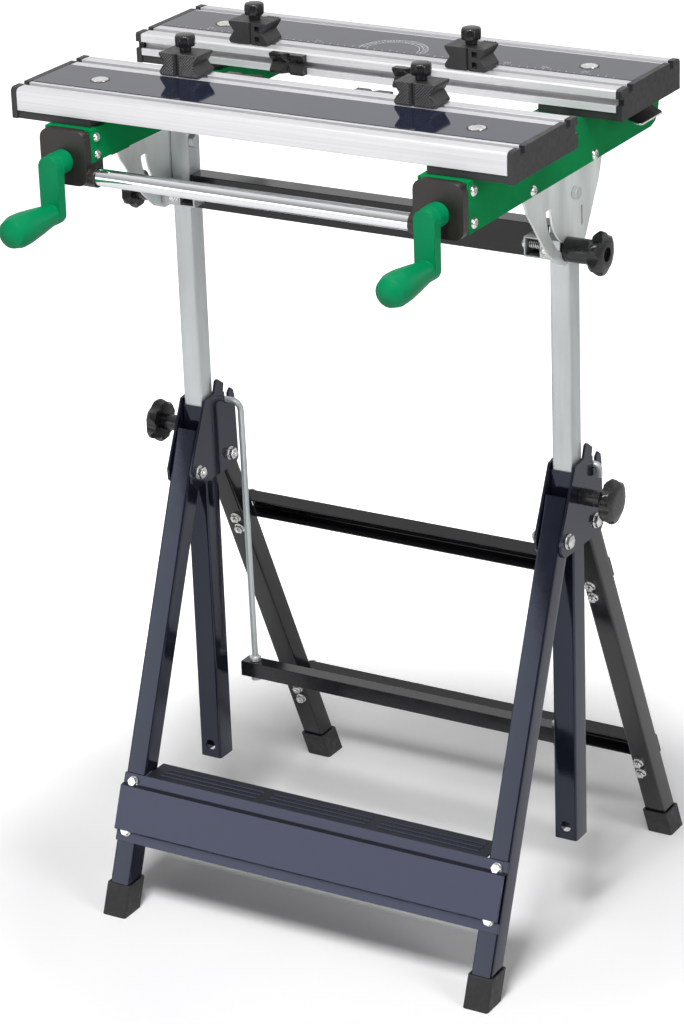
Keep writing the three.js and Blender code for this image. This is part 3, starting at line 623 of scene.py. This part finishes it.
steps.build("step_bolts", PLATING, "zinc", "front_legs")
pivots.build("leg_nuts", PLATING, "zinc", "stand")

# Bolts of the rails and end blocks, millimetres
BLOCK_Y = -247
OUTER_BOLTS = ((-110, 965), (41, 965), (BLOCK_Y, 1004), (BLOCK_Y, 968))  # y and z
INNER_BOLTS = ((BLOCK_Y, 1006), (BLOCK_Y, 986))
RAIL_INSIDE, RAIL_FACE = (corner.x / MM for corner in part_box("rail_right"))
bolts = Kit()
for sign in SIDES.values():
    for y, z in OUTER_BOLTS:
        bolts.dome(at(sign * RAIL_FACE, y, z), (sign, 0, 0))
    for y, z in INNER_BOLTS:
        bolts.dome(at(sign * RAIL_INSIDE, y, z), (-sign, 0, 0), size=11)
bolts.build("rail_bolts", PLATING, "zinc", "table")

# Screws of the panels, millimetres
PANEL_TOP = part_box("front_panel")[1].z / MM
SCREW_X, SCREW_FORWARD, SCREW_SIZE = 244, 4, 20
SCREW_FOOT = 0.2  # above the panel
SHADE_RING = [(0, -0.2), (12, -0.2), (12, 0.15), (11, 0.25), (0, 0.25)]  # radius and height of a black ring, painted shade of the screw's recess
UP = (0, 0, 1)
for jaw, body in (("front", "front_jaw_slide"), ("rear", "table")):
    y = (middle(jaw + "_panel").y - POST_Y) / MM - SCREW_FORWARD
    screws, shade_rings = Kit(), Kit()
    for x in (-SCREW_X, SCREW_X):
        # Black rings round the screws are painted shade for their recesses
        shade_rings.turned(at(x, y, PANEL_TOP), UP, SHADE_RING, sides=32)
        screws.lens(at(x, y, PANEL_TOP + SCREW_FOOT), UP, SCREW_SIZE)
    screws.build(jaw + "_panel_screws", PLATING, "zinc", body)
    shade_rings.build(jaw + "_screw_shade_rings", MATERIALS["black_plastic"], "black_plastic", body)

# Springs and nuts of the clamp lugs, millimetres
LUG_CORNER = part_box("column_right")[0]
LUG_END = LUG_CORNER.x / MM
COLUMN_HALF = 13
COLUMN_SIDE = LEG_X / MM - COLUMN_HALF
SPRING_FROM = LUG_END + 2.9  # clear of the lug's end
SPRING_LENGTH = COLUMN_SIDE - LUG_END - 3.9  # to 1 mm short of the column
SPRING_TURNS, SPRING_STEPS = 6, 96
SPRING_RADIUS, WIRE_RADIUS, WIRE_SIDES = 5.6, 0.8, 6


def spring(kit, sign, clamp_y, clamp_z):
    """Coil between the end of a lug and the side of its column."""

    def section(step):
        turn = 2 * math.pi * SPRING_TURNS * step
        radial = Vector((0, math.cos(turn), math.sin(turn)))
        x = sign * (SPRING_FROM + SPRING_LENGTH * step) * MM
        centre = Vector((x, clamp_y, clamp_z)) + radial * SPRING_RADIUS * MM
        ways = [radial * math.cos(a) + Vector((math.sin(a), 0, 0)) for a in circle(WIRE_SIDES)]
        return [centre + way * WIRE_RADIUS * MM for way in ways]

    kit.swept([i / SPRING_STEPS for i in range(SPRING_STEPS + 1)], section)


lugs = Kit()
for side, sign in SIDES.items():
    _, y, z = pivot(f"tilt_knob_{side}_turn")
    spring(lugs, sign, y, z)
    lugs.nut(Vector((sign * LUG_END * MM, y, z)), (-sign, 0, 0), height=5)
    lugs.nut(Vector((sign * BOLT_X, LUG_CORNER.y, z)), (0, -1, 0), across=11, height=5)
lugs.build("lug_springs", PLATING, "zinc", "columns", sharp=60)

# Threads of the spindles, millimetres
LEAD = 6.0
THREAD_FROM, THREAD_TO = -228, 150
THREAD_STEPS = 16  # in a turn
RIDGE = ((5.6, -2.2), (6.25, -0.7), (6.25, 0.7), (5.6, 2.2))  # radius and shift along the screw


def thread(side):
    """Ridge of a spindle's thread."""
    axis_x, _, axis_z = (value / MM for value in pivot(f"crank_{side}_turn"))

    def section(step):
        sin, cos = math.sin(2 * math.pi * step), math.cos(2 * math.pi * step)
        y = THREAD_FROM + LEAD * step
        return [at(axis_x + r * cos, y + shift, axis_z + r * sin) for r, shift in RIDGE]

    count = int((THREAD_TO - THREAD_FROM) / LEAD * THREAD_STEPS)
    kit = Kit()
    kit.swept([i / THREAD_STEPS for i in range(count)], section)
    kit.build(f"thread_{side}", MATERIALS["zinc"], "zinc", f"crank_{side}", sharp=60)


for side in SIDES:
    thread(side)

# Grip patterns of the dogs
GRIP_PITCH = 3.4 * MM
GRIP_HALF = GRIP_PITCH / 2 - 0.03 * MM
GRIP_ROOT, GRIP_TIP = -0.05 * MM, 1.1 * MM
GRIP_ROWS, GRIP_COLUMNS = 7, 8  # to either side of the middle
GROOVE_SHIFT, GROOVE_HALF = 3 * MM, 4.2 * MM
NOTCH_HEIGHT, NOTCH_HALF, NOTCH_DEPTH = 14.15 * MM, 9.15 * MM, 6.5 * MM


def hatch(dog, way):
    """Diamond pattern on the outer face of a dog, beside its groove and between its notches."""
    low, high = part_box(dog)
    face = low.y if way < 0 else high.y
    middle_x = (low.x + high.x) / 2
    groove_x = middle_x + way * GROOVE_SHIFT
    notch_z = low.z + NOTCH_HEIGHT
    kit = Kit()
    for row in range(-GRIP_ROWS, GRIP_ROWS + 1):
        z = notch_z + row * GRIP_PITCH / 2
        cut_in = NOTCH_DEPTH * max(0.0, 1 - abs(z - notch_z) / NOTCH_HALF)
        reach = (high.x - low.x) / 2 - cut_in - GRIP_PITCH / 2
        for column in range(-GRIP_COLUMNS, GRIP_COLUMNS + 1):
            x = middle_x + (column + 0.5 * (row % 2)) * GRIP_PITCH
            if abs(x - middle_x) > reach or abs(x - groove_x) < GROOVE_HALF:
                continue
            foot = [(x - GRIP_HALF, z), (x, z - GRIP_HALF), (x + GRIP_HALF, z), (x, z + GRIP_HALF)]
            base = Vector((x, face + way * GRIP_ROOT, z))
            tip = Vector((x, face + way * GRIP_TIP, z))
            kit.skin([[base], [Vector((a, base.y, b)) for a, b in foot], [tip]])
    kit.build(dog + "_hatch", MATERIALS["black_plastic"], "black_plastic", dog, sharp=20)


# Sleeves of the dog knobs, millimetres
SLEEVE_RADIUS, SLEEVE_SIDES = 11.45, 64
LOBES, LOBE_RISE = 8, 0.4
SLEEVE_DROP = 13.2  # foot below the top of the knob
SLEEVE_FOOT, SLEEVE_TOP = 0.4, 13.8
SLEEVE = ((SLEEVE_FOOT, 0.96), (1.3, 1), (9.8, 1), (11.8, 0.97), (13, 0.9), (13.6, 0.72))


def ribs(knob):
    """Lobed sleeve over a dog knob."""
    low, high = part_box(knob)
    foot = high.z / MM - SLEEVE_DROP
    turns = circle(SLEEVE_SIDES)
    rings = [[Vector((0, 0, foot + SLEEVE_FOOT))]]
    for height, share in SLEEVE:
        ring = []
        for a in turns:
            r = share * (SLEEVE_RADIUS + LOBE_RISE * math.cos(LOBES * a))
            ring.append(Vector((r * math.cos(a), r * math.sin(a), foot + height)))
        rings.append(ring)
    rings.append([Vector((0, 0, foot + SLEEVE_TOP))])
    place = Vector(((low.x + high.x) / 2, (low.y + high.y) / 2, 0))
    kit = Kit()
    kit.skin([[place + point * MM for point in ring] for ring in rings])
    kit.build(knob + "_ribs", KNOB, "black_plastic", knob, sharp=50)


for jaw, way in (("front", -1), ("rear", 1)):
    for side in SIDES:
        hatch(f"{jaw}_dog_{side}", way)
        ribs(f"{jaw}_dog_knob_{side}")

# V-blocks of the facing slots, millimetres
ACROSS_HALF, ALONG_HALF, V_DEEP = 6.0, 8.5, 6.5  # half widths and depth of the two grooves
BLOCK_THICK = 10.0
TONGUE_HALF, TONGUE_HALF_HEIGHT, TONGUE_SUNK = 14, 2.4, 1
BLOCK_EDGE = 0.7


def v_block(clip, way):
    """Gripping piece with a V-groove along it and one across, in place of a plain clip."""
    low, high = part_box(clip)
    middle_x, middle_z = (low.x + high.x) / 2, (low.z + high.z) / 2
    half, tall = (high.x - low.x) / 2 / MM, (high.z - low.z) / 2 / MM
    tip, root = (high.y, low.y) if way > 0 else (low.y, high.y)

    def point(x, z, depth):
        return Vector((middle_x + x * MM, tip - way * depth * MM, middle_z + z * MM))

    heart, far_heart = (0, 0, V_DEEP), (0, 0, BLOCK_THICK)
    faces = []
    for right in (1, -1):
        for up in (1, -1):
            knee = (right * ACROSS_HALF, up * ALONG_HALF, 0)
            edge = (right * half, up * ALONG_HALF, 0)
            crest = (right * ACROSS_HALF, up * tall, 0)
            corner, far_corner = ((right * half, up * tall, depth) for depth in (0, BLOCK_THICK))
            end, far_end = ((right * half, 0, depth) for depth in (V_DEEP, BLOCK_THICK))
            summit, far_top = ((0, up * tall, depth) for depth in (V_DEEP, BLOCK_THICK))
            faces.append((heart, knee, edge, end))
            faces.append((heart, knee, crest, summit))
            faces.append((knee, edge, corner, crest))
            faces.append((end, edge, corner, far_corner, far_end))
            faces.append((summit, crest, corner, far_corner, far_top))
            faces.append((far_heart, far_end, far_corner, far_top))
    kit = Kit()
    kit.facets([[point(*corner) for corner in face] for face in faces])
    foot = tip - way * (BLOCK_THICK - TONGUE_SUNK) * MM
    wide, high_half = TONGUE_HALF * MM, TONGUE_HALF_HEIGHT * MM
    kit.bar(
        (middle_x - wide, min(foot, root), middle_z - high_half),
        (middle_x + wide, max(foot, root), middle_z + high_half),
    )
    block = kit.build(clip + "_block", KNOB, "black_plastic", clip, sharp=20)
    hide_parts(clip)
    soften(block, BLOCK_EDGE * MM)


# Tabs under the rear jaw, millimetres: sections as x, z, front y and back y
TAB = (
    (272.0, 1009.5, 76, 142),
    (281, 1007.4, 73, 140),
    (291, 1005.2, 69.5, 137),
    (301, 1003.1, 66, 132),
    (309, 1001.7, 63.5, 126.5),
    (315, 1000.9, 62, 122.5),
    (319, 1000.6, 62.5, 119),
    (321.5, 1000.5, 65, 115),
)
TAB_THICK, TAB_EDGE = 1.8, 0.4
# Half sizes of the plated strip that paints a highlight along a tab's edge
GLINT_HALF, GLINT_HALF_HEIGHT = 0.4, 0.95


def rear_tab(side, sign):
    """Curved tab that stands out from a rail below the end of the rear jaw."""

    def section(station):
        x, z, front, back = station
        corners = ((front, z), (back, z), (back, z - TAB_THICK), (front, z - TAB_THICK))
        return [at(sign * x, y, height) for y, height in corners]

    kit = Kit()
    kit.swept(TAB, section)
    name = f"rear_tab_{side}"
    tab = kit.build(name, MATERIALS["black_plastic"], "black_plastic", "table")
    soften(tab, TAB_EDGE * MM)


def tab_highlight(side, sign):
    """Plated strip along a tab's front and round its tip: a painted highlight of the lit rim of
    its edge.
    """
    out = Vector((sign * GLINT_HALF, -GLINT_HALF, 0)) * MM
    up = Vector((0, 0, GLINT_HALF_HEIGHT)) * MM
    tip_x, tip_z, _, tip_back = TAB[-1]
    line = [(x, front, z) for x, z, front, _ in TAB] + [(tip_x, tip_back, tip_z)]
    kit = Kit()
    kit.swept(
        [at(sign * x, y, z - TAB_THICK / 2) for x, y, z in line],
        lambda place: [place + out, place + up, place - out, place - up],
    )
    kit.build(f"rear_tab_highlight_{side}", PLATING, "zinc", "table")


for side, sign in SIDES.items():
    v_block(f"front_clip_{side}", 1)
    v_block(f"rear_clip_{side}", -1)
    rear_tab(side, sign)
    tab_highlight(side, sign)

# Ruler and protractor printed on the rear panel, millimetres
EDGE_Y = (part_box("rear_panel")[0].y - POST_Y) / MM
FILM = 0.06
MARK_HALF, FIGURE_HALF, ARC_HALF = 0.35, 0.3, 0.4  # half widths of the lines
MARK_STEP, MARKS, LONG_EVERY = 10, 29, 5
MARK_FOOT, MARK_TOP, LONG_MARK_TOP = EDGE_Y + 2.5, EDGE_Y + 5.5, EDGE_Y + 7.5
FIGURE_FOOT, FIGURE_HEIGHT = EDGE_Y + 9, 4.5
FIRST_FIGURED = 5  # long marks nearer the middle have no figures, as the protractor is there
PROTRACTOR_Y = EDGE_Y + 8
ARCS, ARC_STEPS = (43, 37.5, 33), 60
TICKS, LONG_TICK_EVERY = 36, 3
TICK_TOP, TICK_FOOT, LONG_TICK_FOOT = 42.5, 38.5, 33
STROKES = {
    "left_low": ((0, 0), (0, 0.5)),
    "left_high": ((0, 0.5), (0, 1)),
    "right_low": ((1, 0), (1, 0.5)),
    "right_high": ((1, 0.5), (1, 1)),
    "low": ((0, 0), (1, 0)),
    "across": ((0, 0.5), (1, 0.5)),
    "high": ((0, 1), (1, 1)),
}
DIGITS = {
    "0": ("left_low", "left_high", "right_low", "right_high", "low", "high"),
    "1": ("right_low", "right_high"),
    "2": ("high", "right_high", "across", "left_low", "low"),
    "3": ("high", "right_high", "across", "right_low", "low"),
    "4": ("left_high", "across", "right_high", "right_low"),
    "5": ("high", "left_high", "across", "right_low", "low"),
    "6": ("high", "left_high", "across", "left_low", "right_low", "low"),
    "7": ("high", "right_high", "right_low"),
    "8": ("left_low", "left_high", "right_low", "right_high", "low", "across", "high"),
    "9": ("left_high", "right_low", "right_high", "low", "across", "high"),
}
prints = Kit()


def stroke(x0, y0, x1, y1, half):
    """Thin raised line on the panel."""
    prints.bar(
        at(x0 - half, y0 - half, PANEL_TOP - FILM), at(x1 + half, y1 + half, PANEL_TOP + FILM)
    )


def number(text, x, y, height):
    """Figures centred on x, with their foot at y."""
    wide = height / 2
    pitch = wide * 1.5
    x -= (len(text) * pitch - wide / 2) / 2
    for figure in text:
        for (a0, b0), (a1, b1) in (STROKES[name] for name in DIGITS[figure]):
            start = (x + a0 * wide, y + b0 * height)
            stroke(*start, x + a1 * wide, y + b1 * height, FIGURE_HALF)
        x += pitch


def arc(radius):
    """Half circle round the middle of the ruler."""
    inner, outer = radius - ARC_HALF, radius + ARC_HALF
    corners = ((inner, -FILM), (outer, -FILM), (outer, FILM), (inner, FILM))

    def section(turn):
        sin, cos = math.sin(turn), math.cos(turn)
        return [at(r * cos, PROTRACTOR_Y + r * sin, PANEL_TOP + z) for r, z in corners]

    prints.swept([math.pi * i / ARC_STEPS for i in range(ARC_STEPS + 1)], section)


def tick(turn, foot):
    """Mark of the protractor, from the radius of its foot out."""
    way = Vector((math.cos(turn), math.sin(turn)))
    across = Vector((-math.sin(turn), math.cos(turn))) * MARK_HALF
    corners = ((across, -FILM), (-across, -FILM), (-across, FILM), (across, FILM))

    def section(radius):
        points = [(way * radius + shift, z) for shift, z in corners]
        return [at(p.x, PROTRACTOR_Y + p.y, PANEL_TOP + z) for p, z in points]

    prints.swept([foot, TICK_TOP], section)


for mark in range(-MARKS, MARKS + 1):
    x = mark * MARK_STEP
    is_long = mark % LONG_EVERY == 0
    stroke(x, MARK_FOOT, x, LONG_MARK_TOP if is_long else MARK_TOP, MARK_HALF)
    if is_long and abs(mark) > FIRST_FIGURED:
        number(str((mark + MARKS + 1) * MARK_STEP), x, FIGURE_FOOT, FIGURE_HEIGHT)
for radius in ARCS:
    arc(radius)
for mark in range(TICKS + 1):
    foot = LONG_TICK_FOOT if mark % LONG_TICK_EVERY == 0 else TICK_FOOT
    tick(math.pi * mark / TICKS, foot)
prints.build("panel_prints", INK, "panel", "table")

# Camera of the photograph
PHOTO_HEIGHT = 1024
FOCAL_PIXELS = 3560.5
SENSOR_HEIGHT = 36
AZIMUTH = math.radians(31.03)
ELEVATION = math.radians(22.38)
ROLL = math.radians(-2.13)
DISTANCE = 4.306
TARGET = Vector((-0.0396, POST_Y - 0.0239, 0.4955))
FARTHEST = 60


def camera():
    """Camera at the photograph's angle."""
    level = Vector((math.cos(AZIMUTH), math.sin(AZIMUTH), 0))
    towards = Vector((math.sin(AZIMUTH), -math.cos(AZIMUTH), 0))
    back = towards * math.cos(ELEVATION) + Vector((0, 0, math.sin(ELEVATION)))
    upright = back.cross(level)
    right = level * math.cos(ROLL) + upright * math.sin(ROLL)
    up = upright * math.cos(ROLL) - level * math.sin(ROLL)
    lens = bpy.data.cameras.new("camera")
    lens.sensor_fit = "VERTICAL"
    lens.sensor_height = SENSOR_HEIGHT
    lens.lens = FOCAL_PIXELS * SENSOR_HEIGHT / PHOTO_HEIGHT
    lens.clip_end = FARTHEST
    obj = bpy.data.objects.new("camera", lens)
    turn = Matrix((right, up, back)).transposed().to_4x4()
    obj.matrix_world = Matrix.Translation(TARGET + back * DISTANCE) @ turn
    bpy.context.scene.collection.objects.link(obj)
    bpy.context.scene.camera = obj


# Studio
FLOOR_HALF = 12.0
GLOW_FROM, GLOW_TO = 0.4, 0.88  # the floor's glow rises between these distances
FLOOR_GLOW, FULL_GLOW = 0.02, 1.0
FLOOR_MIRRORED = 0.12  # share of the glow that gloss shows, as the floor is lit as well
ROOM_FROM, ROOM_TO = -0.1, 0.6  # from the backdrop to the dim room behind the camera
BACKDROP_LEVEL, ROOM_LEVEL = 0.9, 0.2
SKY_LEVEL = 0.09
BENCH_MIDDLE = (0.0, 0.0, 0.6)


def sight(tree):
    """Whether a ray is seen directly or through glass, and whether it is mirrored."""
    rays = add(tree, "ShaderNodeLightPath").outputs
    direct = maths(tree, "MAXIMUM", rays["Is Camera Ray"], rays["Is Transmission Ray"])
    return direct, rays["Is Glossy Ray"]


def lay_floor():
    """Pale floor that fades to white away from the bench."""
    mesh = bpy.data.meshes.new("floor")
    signs = ((-1, -1), (1, -1), (1, 1), (-1, 1))
    corners = [(x * FLOOR_HALF, y * FLOOR_HALF, 0) for x, y in signs]
    mesh.from_pydata(corners, [], [(0, 1, 2, 3)])
    floor = bpy.data.objects.new("floor", mesh)
    bpy.context.scene.collection.objects.link(floor)
    finish = Finish("floor")
    finish.colour(FLOOR_DARK, FLOOR_LIGHT, finish.noise(*grain(3)))
    finish.gloss(0.6, 0.7, finish.noise(*grain(20)))
    tree = finish.tree
    away = add(tree, "ShaderNodeVectorMath", {0: finish.place}, operation="LENGTH")
    rise = ranged(
        tree, away.outputs["Value"], GLOW_FROM, GLOW_TO, FLOOR_GLOW, FULL_GLOW, "SMOOTHSTEP"
    )
    direct, glossy = sight(tree)
    mirrored = maths(tree, "MULTIPLY", glossy, FLOOR_MIRRORED)
    shown = maths(tree, "MAXIMUM", direct, mirrored)
    finish.put("Emission Color", WHITE)
    finish.put("Emission Strength", maths(tree, "MULTIPLY", shown, rise))
    mesh.materials.append(finish.material)


def surround():
    """White to the eye, and in gloss a pale backdrop with a dim room behind the camera."""
    world = bpy.data.worlds.new("studio")
    bpy.context.scene.world = world
    world.use_nodes = True
    tree = world.node_tree
    sky = tree.nodes["Background"]
    coordinates = add(tree, "ShaderNodeTexCoord")
    inputs = {
        0: coordinates.outputs["Generated"],
        1: (math.sin(AZIMUTH), -math.cos(AZIMUTH), 0),
    }
    towards = add(tree, "ShaderNodeVectorMath", inputs, operation="DOT_PRODUCT")
    room = ranged(
        tree, towards.outputs["Value"], ROOM_FROM, ROOM_TO, BACKDROP_LEVEL, ROOM_LEVEL
    )
    direct, glossy = sight(tree)
    mirrored = maths(tree, "MULTIPLY", room, glossy)
    shown = maths(tree, "MAXIMUM", mirrored, direct)
    feed(tree, sky.inputs["Color"], WHITE)
    feed(tree, sky.inputs["Strength"], maths(tree, "MAXIMUM", shown, SKY_LEVEL))


def softbox(name, place, aim, width, height, watts):
    """Area lamp at place, turned to aim."""
    lamp = bpy.data.lights.new(name, "AREA")
    lamp.shape = "RECTANGLE"
    lamp.size = width
    lamp.size_y = height
    lamp.energy = watts
    obj = bpy.data.objects.new(name, lamp)
    obj.location = place
    obj.rotation_euler = (Vector(aim) - Vector(place)).to_track_quat("-Z", "Y").to_euler()
    bpy.context.scene.collection.objects.link(obj)


lay_floor()
surround()
softbox("top_lamp", (0.5, -1.8, 3.5), BENCH_MIDDLE, width=1.1, height=1.1, watts=130)
softbox("front_lamp", (-1.9, -3.6, 0.86), (0, 0, 0.86), width=2.4, height=1.3, watts=21)
softbox("right_lamp", (3.6, -0.9, 1.9), BENCH_MIDDLE, width=1.6, height=1.6, watts=52)
camera()
bpy.context.scene.view_settings.view_transform = "Standard"
